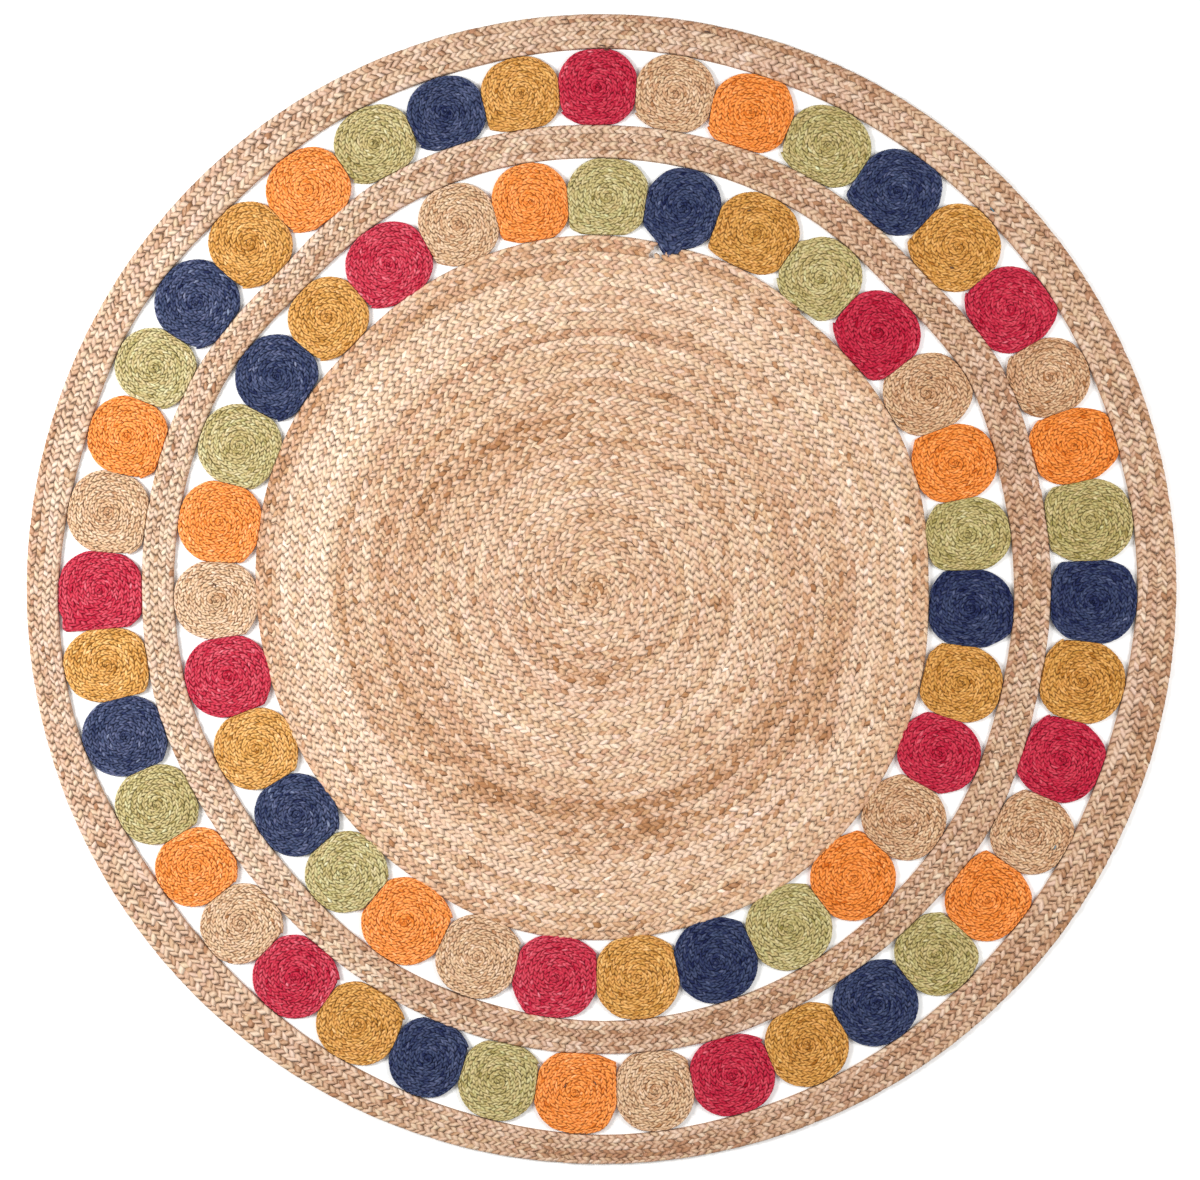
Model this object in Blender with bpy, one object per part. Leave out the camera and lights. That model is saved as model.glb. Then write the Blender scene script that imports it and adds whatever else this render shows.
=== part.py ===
# Round braided jute rug, lying flat on the floor with its open gaps.
# Metres, +Z up, +Y to the top of the rug as it is seen from above.
# The origin is on the floor, at the middle of the rug.
# From the middle outwards: a coiled mat, a row of coiled discs, a braided ring,
# a second row of discs and a braided border, all sewn edge to edge.

import math

import bmesh
import bpy

MM = 0.001

# The braids: a round rises from its seam to its crown and falls to the next seam.
BRAID_CROWN = 9.0 * MM
BRAID_SEAM = 6.2 * MM
RING_ROUNDS = 4

# The border's rim, and the mat's eye beside the rug's middle.
RIM_RADIUS = 915 * MM
MAT_EYE = (-12 * MM, 1 * MM)

# The mat is one braid, coiled clockwise and outwards until it ends at this clock angle.
# Clock angles are in degrees, clockwise from +Y. The end is tucked in by a share of a round.
MAT_TURNS = 42
MAT_STEPS = 30
MAT_END_CLOCK = 36
MAT_END_TUCK = 0.6

# Radii of the braids' edges, in millimetres, at each clock angle.
# The mat's are measured from its eye, for a last round that goes on to the full turn count.
# The others are measured from the rug's middle.
# clock, mat, ring inside, ring outside, border inside
EDGES = (
    (0, 564, 685, 738, 859),
    (15, 560, 682, 736, 855),
    (30, 561, 675, 731, 852),
    (45, 559, 661, 717, 851),
    (60, 559, 671, 728, 852),
    (75, 552, 658, 717, 851),
    (90, 544, 656, 715, 852),
    (105, 551, 656, 714, 844),
    (120, 559, 666, 726, 847),
    (135, 566, 672, 726, 851),
    (150, 571, 680, 730, 857),
    (165, 568, 685, 739, 863),
    (180, 568, 687, 739, 868),
    (195, 564, 683, 738, 860),
    (210, 551, 680, 730, 854),
    (225, 544, 669, 722, 847),
    (240, 540, 667, 723, 847),
    (255, 540, 677, 731, 862),
    (270, 543, 680, 731, 863),
    (285, 548, 682, 733, 854),
    (300, 552, 683, 731, 857),
    (315, 548, 672, 720, 847),
    (330, 555, 683, 738, 854),
    (345, 561, 688, 742, 854),
)
MAT_EDGE, RING_INSIDE, RING_OUTSIDE, BORDER_INSIDE = 1, 2, 3, 4
RING_STEPS = 48

# The open notch where the mat's edge is pushed in, between the end of one length of
# braid and the tail of the navy disc beside it: across and up from the rug's middle, in millimetres.
NOTCH_CORNERS = ((75, 530), (98, 566), (143, 566), (134, 541), (114, 528))

# The discs of the two rows, clockwise: dye, and width along the row in millimetres.
OUTER_ROW_START = 355.1
OUTER_ROW = (
    ("red", 123), ("natural", 124), ("orange", 129), ("green", 135), ("navy", 132),
    ("mustard", 129), ("red", 131), ("natural", 119), ("orange", 115), ("green", 128),
    ("navy", 130), ("mustard", 128), ("red", 130), ("natural", 123), ("orange", 128),
    ("green", 116), ("navy", 129), ("mustard", 126), ("red", 130), ("natural", 122),
    ("orange", 129), ("green", 122), ("navy", 116), ("mustard", 129), ("red", 125),
    ("natural", 116), ("orange", 116), ("green", 119), ("navy", 121), ("mustard", 114),
    ("red", 123), ("natural", 128), ("orange", 122), ("green", 116), ("navy", 130),
    ("mustard", 124), ("orange", 130), ("green", 126), ("navy", 122), ("mustard", 123),
)
INNER_ROW_START = 355.0
INNER_ROW = (
    ("green", 128), ("navy", 115), ("mustard", 132), ("green", 122), ("red", 130),
    ("natural", 120), ("orange", 118), ("green", 114), ("navy", 122), ("mustard", 118),
    ("red", 115), ("natural", 121), ("orange", 128), ("green", 130), ("navy", 127),
    ("mustard", 130), ("red", 132), ("natural", 126), ("orange", 132), ("green", 117),
    ("navy", 125), ("mustard", 123), ("red", 125), ("natural", 121), ("orange", 127),
    ("green", 125), ("navy", 127), ("mustard", 124), ("red", 134), ("natural", 121),
    ("orange", 119),
)

# The first discs of the inner row are sewn into pairs.
INNER_PAIRS = 14
PAIR_OVERLAP = 2.0 * MM

# Tails, where a disc's braid ends in a corner: across and outwards from its middle, in millimetres.
OUTER_TAILS = {31: (-63, 58)}
INNER_TAILS = {2: (-5, -76)}

# A disc's outline is a rounded square, a little large, pressed flat where it meets its neighbours.
DISC_POINTS = 16
DISC_SQUARENESS = 2.1
DISC_PRESSED = 1.03

# A disc's section, from its foot to its middle: share of the outline, height in millimetres.
# The outer round stands apart from the ones inside it.
DISC_SECTION = ((1.0, 0.0), (0.93, 8.0), (0.825, 6.3), (0.73, 8.0))
DISC_MIDDLE_HEIGHT = 7.4 * MM

# Sewn pieces lie this far apart.
SEWN_GAP = 0.3 * MM

# sRGB colours of the yarn.
YARN_COLOURS = {
    "natural": (0.80, 0.66, 0.50),
    "red": (0.72, 0.14, 0.22),
    "orange": (0.95, 0.55, 0.20),
    "green": (0.69, 0.66, 0.36),
    "navy": (0.18, 0.20, 0.33),
    "mustard": (0.81, 0.59, 0.22),
}
YARN_ROUGHNESS = 0.9


# ---- points and radii

def clock_point(clock, radius):
    angle = math.radians(clock)
    return (radius * math.sin(angle), radius * math.cos(angle))


def table_radius(edge, clock):
    # A smooth closed curve through the table's radii.
    step = EDGES[1][0] - EDGES[0][0]
    row, share = divmod((clock % 360) / step, 1)
    before, start, end, after = (EDGES[(int(row) + k) % len(EDGES)][edge] for k in (-1, 0, 1, 2))
    leaving = (end - before) / 2
    arriving = (after - start) / 2
    bend = 2 * (start - end) + leaving + arriving
    drift = 3 * (end - start) - 2 * leaving - arriving
    return (start + share * (leaving + share * (drift + share * bend))) * MM


def chord_fit(steps):
    # Corners stand as far outside the true curve as the chords between them fall inside it.
    return (1 + 1 / math.cos(math.pi / steps)) / 2


def ring_outline(edge):
    fit = chord_fit(RING_STEPS)
    return [clock_point(360 * k / RING_STEPS, fit * table_radius(edge, 360 * k / RING_STEPS))
            for k in range(RING_STEPS)]


def reach(outline, clock):
    # The distance from the rug's middle to an outline, along a clock angle.
    across, up = clock_point(clock, 1)
    for (ax, ay), (bx, by) in zip(outline, outline[1:] + outline[:1]):
        before = across * ay - up * ax
        after = across * by - up * bx
        facing = across * (ax + bx) + up * (ay + by) > 0
        if facing and before >= 0 > after:
            return (ax * by - ay * bx) / (across * (by - ay) - up * (bx - ax))
    raise ValueError("the outline does not go round")


# ---- meshes and objects

def yarn_material(dye):
    name = dye + "_jute"
    material = bpy.data.materials.get(name)
    if material is None:
        material = bpy.data.materials.new(name)
        material.use_nodes = True
        shader = material.node_tree.nodes["Principled BSDF"]
        linear = [((c + 0.055) / 1.055) ** 2.4 for c in YARN_COLOURS[dye]]
        shader.inputs["Base Color"].default_value = (*linear, 1.0)
        shader.inputs["Roughness"].default_value = YARN_ROUGHNESS
        shader.inputs["Metallic"].default_value = 0.0
        material.diffuse_color = (*linear, 1.0)
    return material


def add_object(name, body, dye, parent):
    bmesh.ops.recalc_face_normals(body, faces=body.faces)
    mesh = bpy.data.meshes.new(name)
    body.to_mesh(mesh)
    body.free()
    mesh.materials.append(yarn_material(dye))
    piece = bpy.data.objects.new(name, mesh)
    piece.parent = parent
    bpy.context.collection.objects.link(piece)
    return piece


def hide_guide(guide):
    guide.hide_render = True
    guide.display_type = "WIRE"


def add_boolean(piece, operation, other):
    hide_guide(other)
    modifier = piece.modifiers.new(operation.lower(), "BOOLEAN")
    modifier.operation = operation
    modifier.solver = "EXACT"
    modifier.object = other


def add_loop(body, points, height):
    return [body.verts.new((x, y, height)) for x, y in points]


def join_loops(body, lower, upper):
    for k in range(len(lower)):
        after = (k + 1) % len(lower)
        body.faces.new((lower[k], lower[after], upper[after], upper[k]))


# ---- the mat

def seam_point(step):
    # The mat's seam at a step along its coil, counted from the eye.
    clock = MAT_END_CLOCK + 360 * (step / MAT_STEPS - MAT_TURNS)
    turns = step / MAT_STEPS
    if turns == MAT_TURNS:
        turns -= MAT_END_TUCK
    radius = table_radius(MAT_EDGE, clock) * turns / MAT_TURNS
    x, y = clock_point(clock, radius * chord_fit(MAT_STEPS))
    return (x + MAT_EYE[0], y + MAT_EYE[1])


def mat_outline():
    last = MAT_STEPS * MAT_TURNS
    return [seam_point(step) for step in range(last - MAT_STEPS, last + 1)]


def build_mat(parent):
    # The coil's crown runs midway between each seam and the seam one turn further out.
    body = bmesh.new()
    last = MAT_STEPS * MAT_TURNS
    rim_start = last - MAT_STEPS
    seams = [seam_point(step) for step in range(last + 1)]
    crowns = [((ax + bx) / 2, (ay + by) / 2)
              for (ax, ay), (bx, by) in zip(seams, seams[MAT_STEPS:])]
    seam_verts = add_loop(body, seams[:rim_start + 1], BRAID_SEAM)
    rim_verts = add_loop(body, seams[rim_start:], 0)
    crown_verts = add_loop(body, crowns, BRAID_CROWN)
    outer_verts = seam_verts[MAT_STEPS:]
    last_crowns = crown_verts[-MAT_STEPS - 1:]
    for k in range(rim_start):
        body.faces.new((seam_verts[k], seam_verts[k + 1], crown_verts[k + 1], crown_verts[k]))
    for k in range(rim_start - MAT_STEPS):
        body.faces.new((crown_verts[k], crown_verts[k + 1], outer_verts[k + 1], outer_verts[k]))
    for k in range(MAT_STEPS):
        body.faces.new((last_crowns[k], last_crowns[k + 1], rim_verts[k + 1], rim_verts[k]))
    # The eye, the blunt end of the coil and the flat underside close it.
    for k in range(1, MAT_STEPS):
        body.faces.new((seam_verts[0], seam_verts[k + 1], seam_verts[k]))
    body.faces.new((seam_verts[0], crown_verts[0], seam_verts[MAT_STEPS]))
    body.faces.new((last_crowns[0], seam_verts[-1], rim_verts[0]))
    body.faces.new((seam_verts[-1], last_crowns[-1], rim_verts[-1], rim_verts[0]))
    body.faces.new(rim_verts)
    mat = add_object("centre_mat", body, "natural", parent)
    add_boolean(mat, "DIFFERENCE", build_notch(parent))
    return mat


def build_notch(parent):
    body = bmesh.new()
    corners = [(x * MM, y * MM) for x, y in NOTCH_CORNERS]
    low = add_loop(body, corners, -BRAID_CROWN)
    high = add_loop(body, corners, 2 * BRAID_CROWN)
    join_loops(body, low, high)
    body.faces.new(low)
    body.faces.new(high)
    return add_object("notch_guide", body, "natural", parent)


# ---- the ring and the border

def build_ring(name, inside, outside, parent):
    # Loops across the braids: the inner foot, crowns and seams by turns, and the outer foot.
    body = bmesh.new()
    marks = 2 * RING_ROUNDS
    loops = []
    for mark in range(marks + 1):
        share = mark / marks
        if mark in (0, marks):
            height = 0
        elif mark % 2:
            height = BRAID_CROWN
        else:
            height = BRAID_SEAM
        points = [(ax + (bx - ax) * share, ay + (by - ay) * share)
                  for (ax, ay), (bx, by) in zip(inside, outside)]
        loops.append(add_loop(body, points, height))
    for lower, upper in zip(loops, loops[1:]):
        join_loops(body, lower, upper)
    join_loops(body, loops[-1], loops[0])
    return add_object(name, body, "natural", parent)


# ---- the discs

def superellipse(share):
    angle = 2 * math.pi * share
    power = 2 / DISC_SQUARENESS
    return tuple(math.copysign(abs(f(angle)) ** power, f(angle)) for f in (math.cos, math.sin))


def row_clocks(row, start, inside, outside):
    # The clock angles where neighbouring discs meet, so that the row just closes.
    clocks = [start]
    for _, width in row:
        middle = (reach(inside, clocks[-1]) + reach(outside, clocks[-1])) / 2
        clocks.append(clocks[-1] + math.degrees(width * MM / middle))
    fit = 360 / (clocks[-1] - start)
    return [start + (clock - start) * fit for clock in clocks]


def disc_outline(clock, sides, gaps, inside, outside, tail):
    # Points across and outwards from the disc's middle, kept clear of the neighbours on its
    # two sides and of the braids inside and outside it.
    near = reach(inside, clock)
    far = reach(outside, clock)
    middle = (near + far) / 2
    half_height = DISC_PRESSED * (far - near) / 2
    half_width = DISC_PRESSED * middle * math.tan(math.radians((sides[1] - sides[0]) / 2))
    points = []
    for k in range(DISC_POINTS):
        x, y = superellipse((k + 0.5) / DISC_POINTS)
        points.append(press_point(x * half_width, y * half_height, clock, middle,
                                  sides, gaps, inside, outside))
    lift_clear(points, clock, middle, inside)
    if tail:
        tip = (tail[0] * MM, tail[1] * MM)
        nearest = min(range(DISC_POINTS), key=lambda k: math.dist(points[k], tip))
        points[nearest] = tip
    return middle, points


def press_point(x, y, clock, middle, sides, gaps, inside, outside):
    for side, gap, sign in zip(sides, gaps, (1, -1)):
        slope = math.tan(math.radians(side - clock))
        limit = (middle + y) * slope + sign * gap
        x = max(x, limit) if sign > 0 else min(x, limit)
    point_clock = clock + math.degrees(math.atan2(x, middle + y))
    radius = math.hypot(x, middle + y)
    radius = min(radius, reach(outside, point_clock) - SEWN_GAP)
    radius = max(radius, reach(inside, point_clock) + SEWN_GAP)
    across, out = clock_point(point_clock - clock, radius)
    return (across, out - middle)


def lift_clear(points, clock, middle, inside):
    # Moves the edges of the outline's inner half outwards, clear of the corners inside them.
    across, up = clock_point(clock, 1)
    for x, y in inside:
        corner_x = x * up - y * across
        corner_y = x * across + y * up - middle
        for k in range(DISC_POINTS // 2, DISC_POINTS):
            after = (k + 1) % DISC_POINTS
            (ax, ay), (bx, by) = points[k], points[after]
            if ax < corner_x < bx:
                edge_y = ay + (by - ay) * (corner_x - ax) / (bx - ax)
                lift = max(0, corner_y + SEWN_GAP - edge_y)
                points[k] = (ax, ay + lift)
                points[after] = (bx, by + lift)


def build_disc(name, dye, clock, middle, outline, parent):
    body = bmesh.new()
    loops = [add_loop(body, [(x * share, y * share) for x, y in outline], height * MM)
             for share, height in DISC_SECTION]
    for lower, upper in zip(loops, loops[1:]):
        join_loops(body, lower, upper)
    centre = body.verts.new((0, 0, DISC_MIDDLE_HEIGHT))
    for a, b in zip(loops[-1], loops[-1][1:] + loops[-1][:1]):
        body.faces.new((a, b, centre))
    body.faces.new(loops[0])
    disc = add_object(name, body, dye, parent)
    disc.location = (*clock_point(clock, middle), 0)
    disc.rotation_euler = (0, 0, -math.radians(clock))
    return disc


def build_row(label, row, start, pairs, tails, inside, outside, parent):
    clocks = row_clocks(row, start, inside, outside)
    previous = None
    for number, (dye, _) in enumerate(row, 1):
        sides = clocks[number - 1:number + 1]
        clock = sum(sides) / 2
        opens_pair = number % 2 == 1 and number < 2 * pairs
        closes_pair = number % 2 == 0 and number <= 2 * pairs
        gaps = [-PAIR_OVERLAP if closes_pair else SEWN_GAP / 2,
                -PAIR_OVERLAP if opens_pair else SEWN_GAP / 2]
        middle, outline = disc_outline(clock, sides, gaps, inside, outside, tails.get(number))
        name = f"{label}_disc_{number:02d}"
        if opens_pair:
            name += f"_{number + 1:02d}"
        disc = build_disc(name, dye, clock, middle, outline, parent)
        if closes_pair:
            disc.name = f"{label}_pair_guide_{number:02d}"
            add_boolean(previous, "UNION", disc)
        previous = disc


def build_rug():
    for leftover in list(bpy.data.objects):
        bpy.data.objects.remove(leftover, do_unlink=True)
    rug = bpy.data.objects.new("rug", None)
    bpy.context.collection.objects.link(rug)
    ring_inside = ring_outline(RING_INSIDE)
    ring_outside = ring_outline(RING_OUTSIDE)
    border_inside = ring_outline(BORDER_INSIDE)
    rim = [clock_point(360 * k / RING_STEPS, RIM_RADIUS) for k in range(RING_STEPS)]
    build_mat(rug)
    build_ring("middle_ring", ring_inside, ring_outside, rug)
    build_ring("border_ring", border_inside, rim, rug)
    build_row("inner", INNER_ROW, INNER_ROW_START, INNER_PAIRS, INNER_TAILS,
              mat_outline(), ring_inside, rug)
    build_row("outer", OUTER_ROW, OUTER_ROW_START, 0, OUTER_TAILS,
              ring_outside, border_inside, rug)


build_rug()
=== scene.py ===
import math

import bpy
import numpy as np
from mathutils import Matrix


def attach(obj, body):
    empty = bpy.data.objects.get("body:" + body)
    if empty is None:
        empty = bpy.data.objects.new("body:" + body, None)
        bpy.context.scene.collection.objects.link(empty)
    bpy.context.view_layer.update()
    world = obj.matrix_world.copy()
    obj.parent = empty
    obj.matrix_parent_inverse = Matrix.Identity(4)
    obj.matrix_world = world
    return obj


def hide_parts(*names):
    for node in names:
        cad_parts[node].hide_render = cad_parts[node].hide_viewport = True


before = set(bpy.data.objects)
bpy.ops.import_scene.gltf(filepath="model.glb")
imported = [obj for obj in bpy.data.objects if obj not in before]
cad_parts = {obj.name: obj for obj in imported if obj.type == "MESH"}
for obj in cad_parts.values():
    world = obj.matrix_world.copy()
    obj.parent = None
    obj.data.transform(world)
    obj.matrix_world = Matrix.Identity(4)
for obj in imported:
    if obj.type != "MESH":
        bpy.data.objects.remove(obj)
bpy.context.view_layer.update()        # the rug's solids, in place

mm = 0.001

# A round rug of sewn jute braid. Angles are clock angles, in degrees clockwise from +Y as the rug
# is seen from above. Lengths in the settings are in millimetres unless they say m.


# nodes and colours

def linear(hexColour):
    parts = [int(hexColour[k:k + 2], 16) / 255 for k in (1, 3, 5)]
    return [p / 12.92 if p <= 0.04045 else ((p + 0.055) / 1.055) ** 2.4 for p in parts] + [1.0]


def addNode(tree, kind, inputs=None, **settings):
    added = tree.nodes.new(kind)
    for name, value in settings.items():
        setattr(added, name, value)
    for socket, value in (inputs or {}).items():
        if isinstance(value, bpy.types.NodeSocket):
            tree.links.new(value, added.inputs[socket])
        else:
            added.inputs[socket].default_value = value
    return added


def addObject(name, data):
    added = bpy.data.objects.new(name, data)
    bpy.context.scene.collection.objects.link(added)
    return added


def plainMaterial(name, colour, roughness):
    material = bpy.data.materials.new(name)
    material.use_nodes = True
    shader = material.node_tree.nodes["Principled BSDF"]
    shader.inputs["Base Color"].default_value = linear(colour)
    shader.inputs["Roughness"].default_value = roughness
    return material


yarnLook = dict(
    fibreAlong=0.17,      # noise cells per mm along a yarn: fibres show for about 6 mm
    fibreAcross=0.62,     # and across it, in bundles of 1.6 mm, coarser than real so that they show
    fibreDetail=3.0,
    fibreRoughness=0.62,
    fibreShare=0.30,      # how far the fibres move the tone
    rimWidth=2.0,         # over 1, painted shade darkens a strand only near its rim
    gapShade=0.24,        # painted shade: how much darker a strand is painted where it dips under the next
    fuzzBump=0.30,
    fuzzHeight=0.4,       # mm
    roughness=0.88,
    ior=1.5,              # plant fibre
    specular=0.1,         # loose fibres scatter most of what a smooth surface would reflect
    sheen=0.03,
    sheenRoughness=0.5,
)


def juteMaterial(name, tones, casts):
    # Jute: a coarse bast fibre, loosely spun and matt. Fibres along the strand give the eye
    # fine streaks, and each strand has its own tone and hue from the bale or the dye bath.
    material = bpy.data.materials.new(name)
    material.use_nodes = True
    tree = material.node_tree
    shader = tree.nodes["Principled BSDF"]

    def read(key, socket="Fac"):
        return addNode(tree, "ShaderNodeAttribute", attribute_name=key).outputs[socket]

    def calculate(operation, *values):
        return addNode(tree, "ShaderNodeMath", dict(enumerate(values)), operation=operation).outputs[0]

    tone, cast, edge, strand = read("tone"), read("cast"), read("edge"), read("strand", "Vector")
    stretched = addNode(tree, "ShaderNodeVectorMath", {
        0: strand, 1: (yarnLook["fibreAlong"], yarnLook["fibreAcross"], 1.0),
    }, operation="MULTIPLY").outputs[0]
    fibres = addNode(tree, "ShaderNodeTexNoise", {
        "Vector": stretched, "Scale": 1.0, "Detail": yarnLook["fibreDetail"],
        "Roughness": yarnLook["fibreRoughness"],
    }).outputs["Fac"]
    streak = calculate("SUBTRACT", fibres, 0.5)
    toned = calculate("MULTIPLY_ADD", streak, 2 * yarnLook["fibreShare"], tone)
    # painted shade: a strand is painted darker by its edge value towards its rim, where it dips into the gap,
    # so its crown is left palest as a painted highlight
    rounded = calculate("POWER", edge, yarnLook["rimWidth"])
    shadedTone = calculate("MULTIPLY_ADD", rounded, -yarnLook["gapShade"], toned)
    ramp = addNode(tree, "ShaderNodeValToRGB", {"Fac": shadedTone})
    while len(ramp.color_ramp.elements) < len(tones):
        ramp.color_ramp.elements.new(0.5)
    for number, (element, colour) in enumerate(zip(ramp.color_ramp.elements, tones)):
        element.position = number / (len(tones) - 1)
        element.color = linear(colour)
    hue = addNode(tree, "ShaderNodeValToRGB", {"Fac": cast})
    for element, colour in zip(hue.color_ramp.elements, casts):
        element.color = linear(colour)
    dyed = addNode(tree, "ShaderNodeMix", {
        0: 1.0, 6: ramp.outputs["Color"], 7: hue.outputs["Color"],
    }, data_type="RGBA", blend_type="MULTIPLY").outputs[2]
    bump = addNode(tree, "ShaderNodeBump", {
        "Height": fibres, "Strength": yarnLook["fuzzBump"], "Distance": yarnLook["fuzzHeight"] * mm,
    }).outputs["Normal"]
    tree.links.new(dyed, shader.inputs["Base Color"])
    tree.links.new(bump, shader.inputs["Normal"])
    for socket, key in (("Roughness", "roughness"), ("IOR", "ior"), ("Specular IOR Level", "specular"),
                        ("Sheen Weight", "sheen"), ("Sheen Roughness", "sheenRoughness")):
        shader.inputs[socket].default_value = yarnLook[key]
    shader.inputs["Sheen Tint"].default_value = linear(tones[-1])
    return material


# Each yarn: its material's name, its five tones from the darkest fleck to the palest strand, and
# the two hues between which its strands vary, which multiply the tone.
yarnDyes = {
    "natural": ("undyedJute",
                ("#a87b57", "#cba688", "#dbc2ab", "#ead6c4", "#fef1e5"), ("#fff9e8", "#fff4f3")),
    "ring": ("palerUndyedJute",
             ("#a67d60", "#c8aa92", "#d9c5b3", "#e6dbcc", "#fcf4ea"), ("#fffbea", "#fff4f3")),
    "tan": ("goldenUndyedJute",
            ("#a0724b", "#c09875", "#d2b695", "#e3ccb2", "#f8e5cf"), ("#fff9ee", "#fff3f2")),
    "red": ("crimsonDyedJute",
            ("#980524", "#b3223e", "#c23a4e", "#d15a6a", "#ec98a4"), ("#fff0ee", "#fffafc")),
    "orange": ("orangeDyedJute",
               ("#c5661d", "#dd8639", "#ed9a52", "#f8ac6a", "#fdd09e"), ("#fff6e6", "#fff0ec")),
    "green": ("oliveDyedJute",
              ("#887a42", "#a99a66", "#c0b182", "#d0c7a0", "#e6e2c8"), ("#f8fff0", "#fff4ec")),
    "navy": ("navyDyedJute",
             ("#10163a", "#282e50", "#424963", "#5e627e", "#9297aa"), ("#e6f5ff", "#f8f7ff")),
    "mustard": ("mustardDyedJute",
                ("#98611f", "#b98641", "#d3a15e", "#e2b77a", "#f9d7ab"), ("#fffce8", "#fff0e4")),
}
yarns = {yarn: juteMaterial(*facts) for yarn, facts in yarnDyes.items()}
print("yarns dyed:", len(yarns))


# geometry shared by every braid

def clockPoints(clock, radius):
    angle = np.radians(clock)
    return np.stack([radius * np.sin(angle), radius * np.cos(angle)], axis=-1)


def roundCurve(clocks, radii, gentle=False):
    # a smooth closed curve through radii at clock angles, as a function of the clock angle;
    # a gentle one never swings past its points, so it keeps small corners
    order = np.argsort(clocks)
    c, r = np.asarray(clocks, float)[order], np.asarray(radii, float)[order]
    c = np.concatenate([c[-2:] - 360, c, c[:2] + 360])
    r = np.concatenate([r[-2:], r, r[:2]])
    slopes = np.gradient(r, c)
    if gentle:
        rise = np.diff(r) / np.diff(c)
        before, after = rise[:-1], rise[1:]
        same = before * after > 0
        slopes[1:-1] = np.where(same, 2 * before * after / np.where(same, before + after, 1), 0)

    def radius(clock):
        clock = np.mod(clock, 360)
        k = np.clip(np.searchsorted(c, clock, side="right") - 1, 0, len(c) - 2)
        span = c[k + 1] - c[k]
        u = (clock - c[k]) / span
        return ((2 * u ** 3 - 3 * u ** 2 + 1) * r[k] + (u ** 3 - 2 * u ** 2 + u) * span * slopes[k]
                + (3 * u ** 2 - 2 * u ** 3) * r[k + 1] + (u ** 3 - u ** 2) * span * slopes[k + 1])

    return radius


def wobble(seed, braid):
    # a gentle waviness of hand-sewn rounds, by clock angle and by distance from the middle
    rng = np.random.default_rng(seed)
    count, (fewest, most), lean = braid["waveCount"], braid["wavesRound"], braid["waveLean"]
    waves = [(int(rng.integers(fewest, most)), rng.uniform(-lean, lean), rng.uniform(0, 2 * math.pi))
             for _ in range(count)]

    def shift(clock, radius):
        added = sum(np.sin(np.radians(clock) * around + radius / mm * outwards + phase)
                    for around, outwards, phase in waves)
        return braid["waviness"] * mm * added / math.sqrt(count)

    return shift


def braidPath(inner, outer):
    # the ribbon that a braid fills, and the length along its middle
    middle = (inner + outer) / 2
    steps = np.hypot(*np.diff(middle, axis=0).T)
    return {"length": np.concatenate([[0], np.cumsum(steps)]), "inner": inner, "outer": outer}


def onPath(path, along, across):
    # across is -1 at the braid's inner edge and 1 at its outer edge
    share = (across + 1) / 2
    return [np.interp(along, path["length"], path["inner"][:, k]) * (1 - share)
            + np.interp(along, path["length"], path["outer"][:, k]) * share for k in (0, 1)]


# A strand where it shows between two crossings, as a plump pad. Each point is its share of the
# way from the end under the next strand to the braid's edge, its side of the pad's middle line,
# its height in mm against the braid's crown, and its weight of painted shade, most deep in the gap and none
# at the crown.
padPoints = np.array((
    (0.00, 0.00, -3.0, 1.0), (0.20, 0.86, -2.1, 0.9), (0.50, 1.00, -1.8, 1.0), (0.86, 0.98, -1.4, 0.8),
    (1.00, 0.20, -1.5, 0.8), (0.86, -0.80, -1.6, 0.9), (0.50, -1.00, -2.0, 1.0), (0.20, -0.82, -2.3, 1.0),
    (0.36, -0.12, -0.2, 0.0), (0.70, 0.12, 0.0, 0.0)))
padTop = ((0, 1, 8), (1, 2, 8), (2, 9, 8), (2, 3, 9), (3, 4, 9),
          (4, 5, 9), (5, 6, 9), (6, 8, 9), (6, 7, 8), (7, 0, 8))         # rounded
padBase = ((0, 2, 1), (0, 3, 2), (0, 4, 3), (0, 5, 4), (0, 6, 5), (0, 7, 6))   # flat
padFaces = np.array(padTop + padBase)
padCorners = len(padPoints)


def meshPiece(name, points, faces, material, values, smooth=True):
    mesh = bpy.data.meshes.new(name)
    mesh.vertices.add(len(points))
    mesh.vertices.foreach_set("co", np.ascontiguousarray(points, np.float32).ravel())
    mesh.loops.add(3 * len(faces))
    mesh.loops.foreach_set("vertex_index", np.ascontiguousarray(faces, np.int32).ravel())
    mesh.polygons.add(len(faces))
    mesh.polygons.foreach_set("loop_start", np.arange(0, 3 * len(faces), 3, dtype=np.int32))
    mesh.polygons.foreach_set("use_smooth", np.ones(len(faces), bool) & smooth)
    for key, value in values.items():
        kind, field = ("FLOAT", "value") if value.ndim == 1 else ("FLOAT_VECTOR", "vector")
        stored = mesh.attributes.new(key, kind, "POINT").data
        stored.foreach_set(field, np.ascontiguousarray(value, np.float32).ravel())
    mesh.update(calc_edges=True)
    mesh.materials.append(material)
    return addObject(name, mesh)


def slowNoise(rng, along, stretch):
    # a smooth random line along the braid, between about -1 and 1
    count = int(np.max(along) / stretch) + 4
    knots = rng.uniform(-1, 1, count)
    at = np.clip(along / stretch, 0, count - 2)
    k = at.astype(int)
    u = at - k
    u = u * u * (3 - 2 * u)
    return knots[k] * (1 - u) + knots[k + 1] * u


# Steps along a braid where lengths are found by adding up.
fineSteps = {"stitches": 4000, "core": 6000, "mat": 40000}
# Where each strand lies in the fibres' pattern: mm along it from one strand to the next, and how
# far its layer is from the next strand's and from the other side's.
fibreOffsets = (37, 1.7, 5)


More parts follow.
